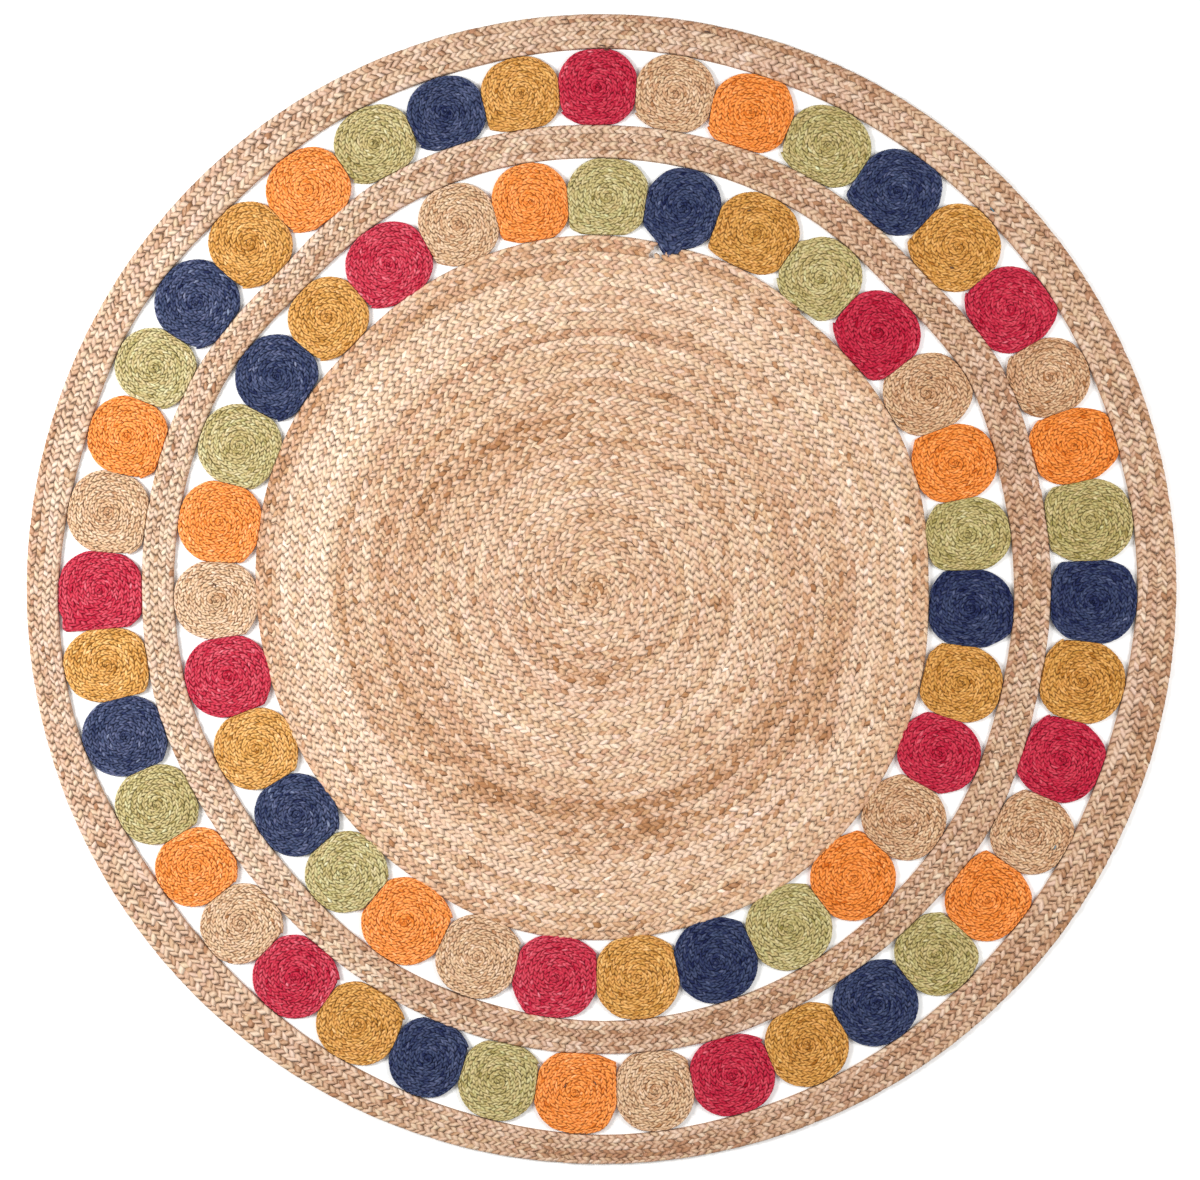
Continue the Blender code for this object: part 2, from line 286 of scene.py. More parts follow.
def stitchPlaces(braid, start, end, scale):
    # where the stitches fall along a braid, and how long each one is; the two sides are half a
    # stitch apart
    fine = np.linspace(start, end, fineSteps["stitches"])
    pitch = braid["pitch"] * mm * (scale(fine) if scale else np.ones(len(fine)))
    counted = np.concatenate([[0], np.cumsum(np.diff(fine) / (pitch[1:] + pitch[:-1]) * 2)])
    count = max(2, round(counted[-1]))
    counted *= count / counted[-1]
    step = np.arange(count)
    places = [np.interp(step + shift, counted, fine) for shift in (0.25, 0.75)]
    return count, places, np.interp(step + 0.5, counted, pitch)


def plait(path, braid, rng, start, end, opens, closed=False, lot=None, keep=None, scale=None):
    # the pads of one braid: points, faces and the values that its material reads; opens says where
    # its inner and its outer edge are free
    count, places, pitches = stitchPlaces(braid, start, end, scale)
    points, tones, casts, strands = [], [], [], []
    width = np.hypot(*(path["outer"] - path["inner"]).T)
    step = np.arange(count)
    ran = places[0] - start
    # its three strands change their tone and hue slowly, each in its own way
    run = braid["strandRun"]
    bales, faded, hues = ([slowNoise(rng, ran, length * mm) for _ in range(3)]
                          for length in (run, run * braid["fadeRun"], run))
    reach, beside, rise, shadeWeight = padPoints.T
    drawn = braid["drift"] * mm * slowNoise(rng, ran, braid["driftRun"] * mm)
    inside, outside = braid["padReach"]
    for side, middle in zip((-1, 1), places):
        middle = middle + drawn + rng.normal(0, braid["wander"] * mm, count)
        if not closed:
            room = braid["endRoom"] * pitches
            middle = np.clip(middle, start + room, end - room)
        half = np.interp(middle, path["length"], width) / 2
        span = (outside - inside) * half
        slant = math.radians(braid["slants"][side > 0])
        lean = span / math.tan(slant) * (1 + rng.normal(0, braid["leanVaries"], count))
        broad = pitches / 2 * braid["plump"] * (1 + rng.normal(0, braid["breadthVaries"], count))
        along = middle[:, None] + lean[:, None] * (reach - 0.5) + broad[:, None] * beside
        stray = rng.normal(0, braid["strayAcross"], count)[:, None]
        across = side * (inside + (outside - inside) * reach) + stray
        # a free edge is flush, and its strands turn down to the floor
        reachesOut = opens[side > 0]
        isOpen = reachesOut(middle)[:, None] if reachesOut else np.zeros((count, 1))
        flush = braid["openReach"] + rng.normal(0, braid["openVaries"], (count, 1))
        limit = outside + isOpen * (flush - outside)
        across = side * np.minimum(side * across, np.where(isOpen > 0, limit, np.inf))
        x, y = onPath(path, along, across)
        height = (braid["crown"] + rise * braid["thick"]) * mm + 0 * along
        tilt = rng.normal(0, braid["tiltVaries"] * mm, (count, 2))
        lift = rng.normal(0, braid["liftVaries"] * mm, count)[:, None]
        height += lift + tilt[:, :1] * beside + tilt[:, 1:] * (reach - 0.5)
        height -= isOpen * np.clip((reach - 0.5) / 0.5, 0, 1) * braid["rimDrop"] * mm
        which = (2 * step + (side > 0)) % 3      # of the three strands
        tone = (0.5 + braid["toneShift"] + braid["strandVaries"] * np.choose(which, bales)
                + rng.normal(0, braid["toneVaries"], count))
        tone -= braid["fadeDepth"] * np.clip(np.choose(which, faded) - braid["fadeFrom"], 0, 1)
        for kind, shift in (("dark", -braid["darkDrop"]), ("pale", braid["paleLift"])):
            isFleck = rng.random(count) < braid[kind + "Share"]
            tone += shift * isFleck * rng.uniform(braid["fleckFrom"], 1, count)
        if lot:
            tone += lot(middle, x.mean(axis=1), y.mean(axis=1))
        cast = (0.5 + braid["castShift"] + braid["hueVaries"] * np.choose(which, hues)
                + rng.normal(0, braid["castVaries"], count))
        kept = np.ones(count, bool) if keep is None else keep(x.mean(axis=1), y.mean(axis=1))
        # the yarn's twist turns its fibres off the strand, and each strand shows another part of them
        fibre = side * slant + math.radians(braid["twist"])
        onward = (lean[:, None] * (reach - 0.5) + broad[:, None] * beside) / mm
        outward = side * span[:, None] * reach / mm
        apart, perStep, perSide = fibreOffsets
        layer = (step * perStep + perSide * side)[:, None]
        strand = np.stack([onward * math.cos(fibre) + outward * math.sin(fibre) + apart * step[:, None],
                           outward * math.cos(fibre) - onward * math.sin(fibre),
                           np.repeat(layer, padCorners, axis=1)], axis=-1)
        points.append(np.stack([x, y, height], axis=-1)[kept])
        tones.append(np.repeat(tone[:, None], padCorners, axis=1)[kept])
        casts.append(np.repeat(cast[:, None], padCorners, axis=1)[kept])
        strands.append(strand[kept])
    points = np.concatenate(points)
    first = padCorners * np.arange(len(points))
    return {
        "points": points.reshape(-1, 3), "faces": (padFaces[None] + first[:, None, None]).reshape(-1, 3),
        "tone": np.concatenate(tones).ravel(), "cast": np.concatenate(casts).ravel(),
        "strand": np.concatenate(strands).reshape(-1, 3),
        # the painted shade at each point, darkest deep in the gaps
        "edge": np.tile(shadeWeight * braid["gapShadeDepth"], len(points)),
    }


def volumes(points, faces):
    # six times the volume between each face and the origin, below 0 for one that faces inwards
    a, b, c = (points[faces[:, k]] for k in range(3))
    return np.einsum("ij,ij->i", a, np.cross(b, c))


def facingOut(points, faces):
    # pads on one side of a braid are mirrored, so each is turned by its own volume
    size = volumes(points, faces).reshape(-1, len(padFaces)).sum(axis=1)
    flipped = np.repeat(size < 0, len(padFaces))
    faces = faces.copy()
    faces[flipped] = faces[flipped][:, ::-1]
    return faces


def joined(parts):
    offset, faces = 0, []
    for part in parts:
        faces.append(part["faces"] + offset)
        offset += len(part["points"])
    out = {key: np.concatenate([part[key] for part in parts]) for key in parts[0] if key != "faces"}
    out["faces"] = np.concatenate(faces)
    return out


pointValues = ("tone", "cast", "edge", "strand")


def layBraid(name, parts, dye, node):
    got = joined(parts)
    faces = facingOut(got["points"], got["faces"])
    smooth = np.tile(np.arange(len(padFaces)) < len(padTop), len(faces) // len(padFaces))
    piece = meshPiece(name, got["points"], faces, yarns[dye], {key: got[key] for key in pointValues}, smooth)
    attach(piece, "root")
    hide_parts(node)
    return piece


# The core's six points round: its place across the braid, which of the settings is its height
# (none at the two edges, which depend on what lies beside them), its place across the fibres in
# mm, and its weight of painted shade, most where it lies deep in the gap.
coreRound = (
    (-1.0, None, -6.0, 1.0), (-0.5, "coreTop", -3.0, 0.8), (0.5, "coreTop", 3.0, 0.8),
    (1.0, None, 6.0, 1.0), (0.5, "coreFoot", 9.0, 0.2), (-0.5, "coreFoot", 12.0, 0.2))
turningAt = 0.6              # across the braid, where its turning is measured


def coreRows(path, braid, start, end, closed):
    # steps along the braid, no longer than coreStep and turning no more than coreTurn degrees
    fine = np.linspace(start, end, fineSteps["core"])
    x, y = onPath(path, fine, np.full(len(fine), turningAt))
    heading = np.unwrap(np.arctan2(np.gradient(y, fine), np.gradient(x, fine)))
    turning = np.abs(np.gradient(heading, fine)) / math.radians(braid["coreTurn"])
    rate = np.maximum(1 / (braid["coreStep"] * mm), turning)
    counted = np.concatenate([[0], np.cumsum((rate[1:] + rate[:-1]) / 2 * np.diff(fine))])
    count = max(4, math.ceil(counted[-1]))
    shares = np.arange(count if closed else count + 1) / count
    return np.interp(shares * counted[-1], counted, fine)


def coreOf(path, braid, start, end, opens, closed=False):
    # the braid's own body under the strands that show: a long closed ribbon, its edges laid a
    # little over the next round's
    along = coreRows(path, braid, start, end, closed)
    loops = []
    for across, named, _, _ in coreRound:
        if named:
            height = braid[named]
        else:
            reachesOut = opens[across > 0]
            isOpen = reachesOut(along) if reachesOut else np.zeros(len(along))
            height = braid["rimFoot"] * isOpen + braid["seam"] * (1 - isOpen)
            across = across * (isOpen + braid["lap"] * (1 - isOpen))
        x, y = onPath(path, along, across + 0 * along)
        loops.append(np.stack([x, y, height * mm + 0 * along], axis=-1))
    points = np.stack(loops, axis=1)
    rows, sides = len(along), len(loops)
    faces = []
    k = np.arange(rows if closed else rows - 1)
    after = (k + 1) % rows
    for side in range(sides):
        other = (side + 1) % sides
        a, b = k * sides + side, k * sides + other
        c, d = after * sides + other, after * sides + side
        faces += [np.stack([a, b, c], axis=1), np.stack([a, c, d], axis=1)]
    if not closed:
        for row, turn in ((0, 1), (rows - 1, -1)):
            around = [row * sides + side for side in range(sides)]
            faces.append(np.array([(around[0], around[j], around[j + 1])[::-turn]
                                   for j in range(1, sides - 1)]))
    beside = [place for _, _, place, _ in coreRound]
    strand = np.stack([np.repeat(along[:, None], sides, axis=1) / mm, np.tile(beside, (rows, 1)),
                       np.zeros((rows, sides))], axis=-1)
    return {"points": points.reshape(-1, 3), "faces": np.concatenate(faces),
            "tone": np.full(rows * sides, braid["coreTone"]), "cast": np.full(rows * sides, 0.5),
            # painted shade on the core where it shows in the gaps
            "edge": np.tile([shadeWeight for _, _, _, shadeWeight in coreRound], rows),
            "strand": strand.reshape(-1, 3)}


def layCore(name, parts, dye, node):
    got = joined(parts)
    faces = got["faces"]
    if volumes(got["points"], faces).sum() < 0:
        faces = faces[:, ::-1]
    piece = meshPiece(name, got["points"], faces, yarns[dye], {key: got[key] for key in pointValues})
    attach(piece, "root")
    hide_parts(node)


def markTone(marks, clock, place):
    # lots, stains and patches of painted light named in a table: how far each mark moves the tone of a stitch
    tone = np.zeros(len(clock))
    for middle, spread, where, halfWidth, shift in marks:
        around = ((clock - middle + 180) % 360 - 180) / spread
        beside = (place - where) / halfWidth
        tone += shift * np.exp(-np.abs(around) ** 3 - np.abs(beside) ** 3)
    return tone


def nodePoints(node):
    return np.array([v.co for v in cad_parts[node].data.vertices], float)


def coilOpens(path, turn, turns):
    # a coil's edges that are free: only the outer one, in its last round
    last = np.interp(turns - 1, turn, path["length"])
    return None, lambda along: (along > last).astype(float)


def tightness(braid, far):
    # a coil's braid is pulled tight round its eye: the share of its pitch, far going from 0 to 1
    return braid["eyePitch"] + (1 - braid["eyePitch"]) * np.clip(far, 0, 1)


# the mat: one undyed braid, coiled clockwise from its eye

mat = dict(
    seed=11,
    eye=(-12.0, 1.0),
    across=1130,          # as a flat sheet
    turns=42,
    firstTurn=0.02,       # where the coil begins, in turns from its eye
    firstStitch=0.35,     # and its first stitch
    stepsPerTurn=120,
    endClock=36,          # where the coil ends
    endTuck=0.6,          # share of a round by which the end is tucked in
    tuckRate=30,          # it moves in over one 30th of a turn
    # the solid's outline: how far it is from the eye every 15 degrees, and the corners of its open
    # notch, from the rug's middle
    edge=(564, 560, 561, 559, 559, 552, 544, 551, 559, 566, 571, 568,
          568, 564, 551, 544, 540, 540, 543, 548, 552, 548, 555, 561),
    notch=((75, 530), (98, 566), (143, 566), (134, 541), (114, 528)),
    waveSeed=8,
    waveCount=9,
    waviness=1.1,
    wavesRound=(3, 26),   # the fewest waves in a round, and one above the most
    waveLean=0.05,        # radians a mm by which they turn from round to round
    calmTurns=(4, 3),     # even rounds at the eye and at the rim
    # the stitches
    pitch=12.0,           # from stitch to stitch along the braid
    eyePitch=0.72,        # the share of it at the eye, where the braid is pulled tight
    tightTurns=5,
    slants=(66, 56),      # degrees between a strand and the braid, on its inner and outer side
    leanVaries=0.34,
    breadthVaries=0.14,
    twist=25,             # degrees between the fibres and their strand
    plump=1.18,           # a strand's width against its place
    padReach=(-0.42, 1.22),   # from past the braid's middle line to past its edge
    openReach=0.98,       # where the braid's edge is free
    openVaries=0.012,
    endRoom=0.4,          # of a stitch, kept free at the braid's ends
    strayAcross=0.08,     # of half the braid's width
    wander=1.4,
    drift=3.0,            # how far the plaiting draws the stitches on and back along the braid
    driftRun=70,
    crown=8.9,            # the height of the strands' tops
    thick=0.62,           # how deep a strand is, against padPoints
    rimDrop=3.4,          # how far the strands slope down at a free edge
    liftVaries=0.28,
    tiltVaries=0.34,
    # the braid's own body below them
    coreTop=7.2,
    coreFoot=0.2,
    seam=6.9,             # its height where two rounds meet
    rimFoot=1.8,          # and at a free edge
    lap=1.08,             # how far it is laid over the next round's
    coreStep=34,
    coreTurn=24,
    # tones, from 0 for a dye's darkest to 1 for its palest
    coreTone=0.52,
    gapShadeDepth=0.5,         # how strongly the painted shade darkens a strand towards its edges, from 0 to 1
    toneShift=-0.045,
    toneVaries=0.08,
    strandRun=300,        # how far a strand goes before its tone has changed
    strandVaries=0.16,
    fadeRun=0.3,          # of strandRun
    fadeDepth=0.5,        # how much darker a strand goes where its bale was poor
    fadeFrom=0.62,
    darkShare=0.04,
    darkDrop=0.32,
    paleShare=0.08,
    paleLift=0.18,
    fleckFrom=0.4,        # the weakest dark or pale strand against the strongest
    castShift=0.0,        # from halfway between a dye's two hues towards its second
    castVaries=0.16,
    hueVaries=0.3,        # and how far it goes slowly to and fro along a strand
    # seed, depth and length in m of the slow changes of tone along the braid
    bales=((5, 0.08, 0.6), (6, 0.05, 2.5), (7, 0.06, 0.13)),
    markDepth=1.3,
    # tone by the distance from the eye, in mm
    bands=((0, -0.24), (20, -0.14), (45, -0.08), (80, 0.0), (160, 0.0), (190, -0.03), (290, 0.0),
           (345, -0.05), (380, -0.03), (440, 0.05), (480, 0.05), (520, 0.0), (550, -0.06)),
    # clock, spread in degrees, distance from the eye, half its width, shift of tone
    # the broad pale marks on the left, near clock 270, are painted light; the rest are lots and stains
    marks=(
        (165, 75, 374, 46, -0.09), (165, 55, 346, 8, -0.12), (160, 48, 333, 6, 0.12),
        (280, 65, 403, 7, -0.12), (22, 35, 417, 13, -0.09), (278, 50, 464, 45, 0.11),
        (268, 45, 340, 10, -0.10), (318, 28, 279, 8, -0.15), (320, 42, 252, 8, -0.07),
        (182, 50, 274, 10, -0.07), (40, 38, 183, 9, -0.11), (57, 14, 240, 12, -0.12),
        (268, 35, 540, 14, -0.16), (10, 30, 528, 12, -0.06), (338, 26, 513, 10, -0.09),
        (118, 22, 395, 14, -0.10), (30, 30, 470, 26, 0.05), (122, 2.6, 435, 10, -0.40),
        (166, 4.0, 387, 14, -0.24), (174, 6.0, 147, 10, -0.26), (97, 2.2, 200, 7, -0.45),
        (326, 2.6, 274, 6, -0.42), (197, 5.0, 165, 6, -0.22), (285, 3.0, 500, 12, -0.20),
        (155, 1.8, 520, 8, -0.30), (203, 2.0, 476, 8, -0.26), (208, 5.0, 366, 14, -0.18),
        (300, 8.0, 300, 8, -0.10), (170, 30, 470, 30, -0.06), (210, 20, 245, 18, 0.06),
        (265, 40, 200, 22, 0.06), (60, 50, 345, 8, -0.08),
    ),
)


def buildMat():
    rng = np.random.default_rng(mat["seed"])
    turns, perTurn, first = mat["turns"], mat["stepsPerTurn"], mat["firstTurn"]
    sides = len(mat["edge"])
    edge = roundCurve(np.arange(sides) * 360 / sides, np.array(mat["edge"]) * mm)
    turn = np.linspace(first, turns, int((turns - first) * perTurn))
    clock = mat["endClock"] + 360 * (turn - turns)
    tucked = np.clip((turn - turns) * mat["tuckRate"] + 1, 0, 1) * mat["endTuck"]
    eye = np.array(mat["eye"]) * mm
    wave = wobble(mat["waveSeed"], mat)

    def seamAt(turn):
        radius = edge(clock) * turn / turns
        atEye, atRim = mat["calmTurns"]
        calm = np.clip(turn / atEye, 0, 1) * np.clip((turns - turn) / atRim, 0, 1)
        return clockPoints(clock, radius + calm * wave(clock, radius)) + eye

    outer, inner = seamAt(turn - tucked), seamAt(np.maximum(turn - 1, 0))
    path = braidPath(inner, outer)
    total = path["length"][-1]
    opens = coilOpens(path, turn, turns)
    corners = np.array(mat["notch"]) * mm
    distances, shades = np.array(mat["bands"]).T

    def inNotch(x, y):
        # inside where a line to the right crosses the notch's edge an odd number of times
        inside, tiny = np.zeros(np.shape(x), bool), 1e-12
        for (ax, ay), (bx, by) in zip(corners, np.roll(corners, -1, axis=0)):
            crosses = ((ay > y) != (by > y)) & (x < (bx - ax) * (y - ay) / (by - ay + tiny) + ax)
            inside ^= crosses
        return inside

    def lot(along, x, y):
        away = np.hypot(x - eye[0], y - eye[1]) / mm
        clocks = np.degrees(np.arctan2(x - eye[0], y - eye[1]))
        drift = sum(depth * slowNoise(np.random.default_rng(seed), along, stretch)
                    for seed, depth, stretch in mat["bales"])
        marked = mat["markDepth"] * markTone(mat["marks"], clocks, away)
        return drift + np.interp(away, distances, shades) + marked

    def tight(along):
        return tightness(mat, np.interp(along, path["length"], turn) / mat["tightTurns"])

    firstStitch = np.interp(mat["firstStitch"], turn, path["length"])
    cuts = [firstStitch, total * 0.5, total]     # its strands are two meshes, for their size
    for number, (start, end) in enumerate(zip(cuts, cuts[1:]), 1):
        part = plait(path, mat, rng, start, end, opens, lot=lot, scale=tight,
                     keep=lambda x, y: ~inNotch(x, y))
        layBraid(f"matBraid_{number}", [part], "natural", "centre_mat")
    # the braid's body is cut out of the notch too
    fine = np.linspace(0, total, fineSteps["mat"])
    within = inNotch(*onPath(path, fine, 0 * fine))
    ends = fine[np.flatnonzero(np.diff(within.astype(int)))]
    ends = np.concatenate([[0.0], ends, [total]])
    cores = [coreOf(path, mat, start, end, opens) for start, end in zip(ends[0::2], ends[1::2])]
    layCore("matCore", cores, "natural", "centre_mat")
    print("mat laid:", round(total, 1), "m of braid")


# the middle ring and the border: rounds of the same braid side by side

ring = dict(
    mat, rounds=4, roundWidth=13.3, waviness=1.6, waveCount=8, wavesRound=(3, 24), gapShadeDepth=1.0,
    coreTone=0.34, toneVaries=0.075, strandVaries=0.09, darkShare=0.035, toneShift=-0.16, castShift=0.05,
    sunSide=0.05,            # how much paler the side towards the light is
    sunClock=285,
    shifted=20,              # the most by which a round's stitches are shifted along it
    # each round's own slow changes of tone: length in m and depth of each, and how many m of
    # them, in how many steps, are laid round it
    lots=((0.35, 0.05), (1.6, 0.05)),
    lotRun=6,
    lotSteps=600,
    blendFrom=0.92,          # the share of a round from which they run back into its start
    blendOver=0.08,
)
ringRuns = {
    "middleRing": {"node": "middle_ring", "pitch": 11.0, "seed": 21, "waveSeed": 71},
    "border": {"node": "border_ring", "pitch": 11.5, "seed": 22, "waveSeed": 72},
}
# clock, spread in degrees, share of the ring's width from its inner edge, half its width, shift
# in both rings the broad pale marks on the left, near clocks 250 to 300, are painted light; the rest are lots
# and stains
ringMarks = {
    "border": (
        (178, 11, 0.68, 0.16, -0.24), (6, 9, 0.93, 0.12, -0.14), (222, 17, 0.36, 0.16, -0.12),
        (277, 14, 0.92, 0.13, -0.15), (108, 14, 0.70, 0.30, -0.06), (152, 22, 0.50, 0.50, -0.05),
        (250, 45, 0.45, 0.60, 0.05), (243, 6, 0.30, 0.20, -0.10), (300, 25, 0.30, 0.20, 0.05),
        (27, 14, 0.85, 0.15, -0.08), (350, 14, 0.80, 0.15, -0.06), (66, 18, 0.90, 0.12, -0.06),
        (120, 18, 0.15, 0.15, -0.06),
    ),
    "middleRing": (
        (186, 22, 0.34, 0.22, -0.13), (26, 12, 0.30, 0.22, -0.09), (12, 14, 0.62, 0.12, -0.06),
        (265, 42, 0.55, 0.60, 0.08), (152, 18, 0.40, 0.30, -0.07), (80, 20, 0.30, 0.50, -0.05),
        (300, 20, 0.20, 0.20, -0.05), (338, 10, 0.15, 0.14, -0.08), (205, 10, 0.15, 0.14, -0.12),
    ),
}


footBelow = 0.5 * mm         # the solids' points that stand on the floor
ringStep = 7.5               # degrees between the points of a ring's edges in the solids


def footOf(node):
    points = nodePoints(node)
    return points[points[:, 2] < footBelow]


def ringCurves(node):
    foot = footOf(node)
    clock = np.degrees(np.arctan2(foot[:, 0], foot[:, 1])) % 360
    radius = np.hypot(foot[:, 0], foot[:, 1])
    count = round(360 / ringStep)
    nearest = np.round(clock / ringStep).astype(int) % count
    clocks = np.arange(count) * ringStep
    inside = [radius[nearest == k].min() for k in range(count)]
    outside = [radius[nearest == k].max() for k in range(count)]
    return roundCurve(clocks, inside), roundCurve(clocks, outside)


def buildRing(name, node, pitch, seed, waveSeed):
    rng = np.random.default_rng(seed)
    braid = dict(ring, pitch=pitch)
    insideCurve, outsideCurve = ringCurves(node)
    # two steps a degree, and 10 degrees past a whole round at both ends
    past, perDegree = 10, 2
    clock = np.linspace(-past, 360 + past, (360 + 2 * past) * perDegree + 1)
    near, far = insideCurve(clock), outsideCurve(clock)
    parts, cores = [], []
    wave = wobble(waveSeed, ring)
    seams = []
    for k in range(ring["rounds"] + 1):
        radius = near + (far - near) * k / ring["rounds"]
        inside = 0 < k < ring["rounds"]
        seams.append(clockPoints(clock, radius + inside * wave(clock, radius)))

    def always(along):
        return np.ones(len(along))

    for k in range(ring["rounds"]):
        path = braidPath(seams[k], seams[k + 1])
        start, end = np.interp([0, 360], clock, path["length"])
        shifted = rng.uniform(0, ring["shifted"] * mm)
        lots = np.random.default_rng(seed * 10 + k)
        knots = np.linspace(0, ring["lotRun"], ring["lotSteps"])
        table = sum(slowNoise(lots, knots, stretch) * depth for stretch, depth in ring["lots"])

        def lot(along, x, y, table=table, start=start, end=end):
            share = np.mod((along - start) / (end - start), 1)
            blend = np.clip((share - ring["blendFrom"]) / ring["blendOver"], 0, 1)
            drift = np.interp(share * ring["lotRun"], knots, table) * (1 - blend) + table[0] * blend
            clocks = np.degrees(np.arctan2(x, y)) % 360
            across = (np.hypot(x, y) - insideCurve(clocks)) / (outsideCurve(clocks) - insideCurve(clocks))
            lit = ring["sunSide"] * np.cos(np.radians(clocks - ring["sunClock"]))
            return drift + lit + markTone(ringMarks[name], clocks, across)

        opens = (always if k == 0 else None, always if k == ring["rounds"] - 1 else None)
        parts.append(plait(path, braid, rng, start + shifted, end + shifted, opens, closed=True, lot=lot))
        cores.append(coreOf(path, ring, start, end, opens, closed=True))
    strands = layBraid(name + "Braid", parts, "ring", node)
    once = slice(past * perDegree, -past * perDegree - 1)
    layCore(name + "Core", cores, "ring", node)
    print(name, "laid:", round(2 * far.max(), 3), "m across")


# the discs: small coils of thinner dyed braid

disc = dict(
    mat, seed=31, rowSeeds={"outer": 500, "inner": 0},
    braidWidth=8.4, firstTurn=0.03, firstStitch=0.3, stepsPerTurn=72,
    endClock=235,            # from the way outwards
    pitch=8.2, eyePitch=0.8,
    tightRun=60,             # mm of braid, from the eye on, that is pulled tight
    settle=1.5,              # the last turns, which run out into the rim
    # the outline
    swell=1.045,             # where a disc is free, against its solid
    roundest=0.98,           # its least radius where it is free, against its middling one
    give=0.4,                # how softly it turns where it is pressed
    contact=6,               # it is pressed flat by what stands nearer than this
    facing=0.2,              # and only where it faces that, by more than this cosine
    apart=0.2,               # half the gap between two discs
    overMat=1.5,             # how far it lies over the mat's edge
    endCorner=0.06,          # how far the coil's end stands out, against the radius
    endSpread=13,            # degrees
    # the stitches
    slants=(56, 44), padReach=(-0.30, 1.10), crown=7.9, rimDrop=2.6, wander=0.8, drift=2.0,
    strayAcross=0.09, liftVaries=0.25, tiltVaries=0.3,
    coreTop=6.3, seam=5.4, coreFoot=0.4, lap=1.2, coreStep=16, coreTurn=34,
    # the tones
    coreTone=0.36, gapShadeDepth=0.85, toneShift=0.0, toneVaries=0.09, strandRun=180, strandVaries=0.07,
    fadeDepth=0.2, darkShare=0.05, paleShare=0.06, sunSide=0.10, sunClock=268,
    dyeVaries=0.03,          # from disc to disc
    lotDepth=0.05, lotRun=120,
    eyeShade=0.16, eyeSpread=11,   # how much darker its eye is, and how far out
)
dyeOrder = ["red", "natural", "orange", "green", "navy", "mustard"]
# Each row, clockwise from the top: its dyes, how many pairs of discs are one solid, and the ring
# that stands for the threads that hold it.
rows = {
    "outer": {"dyes": dyeOrder * 6 + dyeOrder[2:], "pairs": 0, "sewnTo": "border_ring"},
    "inner": {"dyes": dyeOrder[3:] + ["green"] + dyeOrder * 4 + dyeOrder[:3], "pairs": 14,
              "sewnTo": "middle_ring"},
}


def matEdge(clock):
    # how far out the mat's solid stands near a clock angle, less what a disc lies over it: the
    # middle one of its three outermost points within 4 degrees
    foot = footOf("centre_mat")
    clocks = np.degrees(np.arctan2(foot[:, 0], foot[:, 1]))
    near = np.abs((clocks - clock + 180) % 360 - 180) < 4
    return np.median(np.sort(np.hypot(foot[near, 0], foot[near, 1]))[-3:]) - disc["overMat"] * mm


# The navy coil's tail lies in the mat's notch, so its side towards the mat isn't pressed flat: its
# row, its number and whether the side is the one towards the mat.
freeTail = ("inner", 2, True)

# Discs that are pressed to a corner, by row and number: the clock angle of each corner about the
# disc's middle, its spread in degrees and how far it stands out in mm.
discCorners = {
    "outer": {
        3: [(225, 22, 6), (45, 22, 6)], 5: [(270, 20, 6), (73, 18, 5)], 6: [(270, 20, 4)],
        7: [(90, 20, 8)], 9: [(49, 20, 6), (95, 20, 6), (270, 22, 4)], 10: [(300, 16, 5), (240, 16, 5)],
        11: [(315, 18, 5), (45, 18, 5)], 13: [(261, 20, 5), (82, 20, 5)], 14: [(90, 22, 5)],
        15: [(0, 20, 5), (90, 18, 5)], 16: [(90, 20, 6)], 21: [(61, 16, 8), (144, 18, 5)],
        30: [(127, 18, 6)], 31: [(120, 16, 5), (247, 13, 7), (203, 12, 4)], 32: [(135, 18, 5)],
        33: [(135, 18, 5)], 40: [(225, 18, 6)],
    },
    "inner": {
        1: [(225, 18, 5)], 2: [(194, 9, 6)], 3: [(254, 18, 6)], 5: [(187, 18, 9)], 6: [(90, 24, 4)],
        7: [(315, 20, 5)], 8: [(225, 18, 5)], 9: [(117, 18, 6)], 13: [(15, 18, 6)], 17: [(215, 18, 6)],
        31: [(225, 18, 5)],
    },
}


solidEye = {"height": 7.4, "within": 0.02}     # the point in the middle of a disc's solid
beforeFirst = 340            # a clock angle just before the first disc of a row


def discOutlines(row):
    # each disc's middle and outline, from the solids; two sewn into a pair are parted where they
    # meet. Points are rounded, so that those met twice count once.
    outlines, number = [], 1
    count = len(rows[row]["dyes"])
    while number <= count:
        isPair = number < 2 * rows[row]["pairs"]
        node = f"{row}_disc_{number:02d}" + (f"_{number + 1:02d}" if isPair else "")
        points = nodePoints(node)
        foot = np.unique(np.round(footOf(node)[:, :2], 5), axis=0)
        atEye = np.abs(points[:, 2] - solidEye["height"] * mm) < solidEye["within"] * mm
        middles = np.unique(np.round(points[atEye][:, :2], 4), axis=0)
        if isPair:
            a, b = sorted(middles, key=lambda m: (math.degrees(math.atan2(m[0], m[1])) - beforeFirst) % 360)
            nearer = np.hypot(*(foot - a).T) - np.hypot(*(foot - b).T)
            seam = foot[np.argsort(np.abs(nearer))[:2]]
            chord = seam[0] + (seam[1] - seam[0]) * np.linspace(0, 1, 5)[:, None]
            # the chord brings the seam's own two points
            for middle, own in ((a, foot[nearer < 0]), (b, foot[nearer > 0])):
                own = np.array([p for p in own if min(np.hypot(*(p - s)) for s in seam) > 1e-4])
                outlines.append((node, middle, np.concatenate([own, chord])))
            number += 2
        else:
            outlines.append((node, middles[0], foot))
            number += 1
    return outlines


def outlineOf(middle, outline):
    offsets = outline - middle
    clocks = np.degrees(np.arctan2(offsets[:, 0], offsets[:, 1])) % 360
    return roundCurve(clocks, np.hypot(*offsets.T), gentle=True)


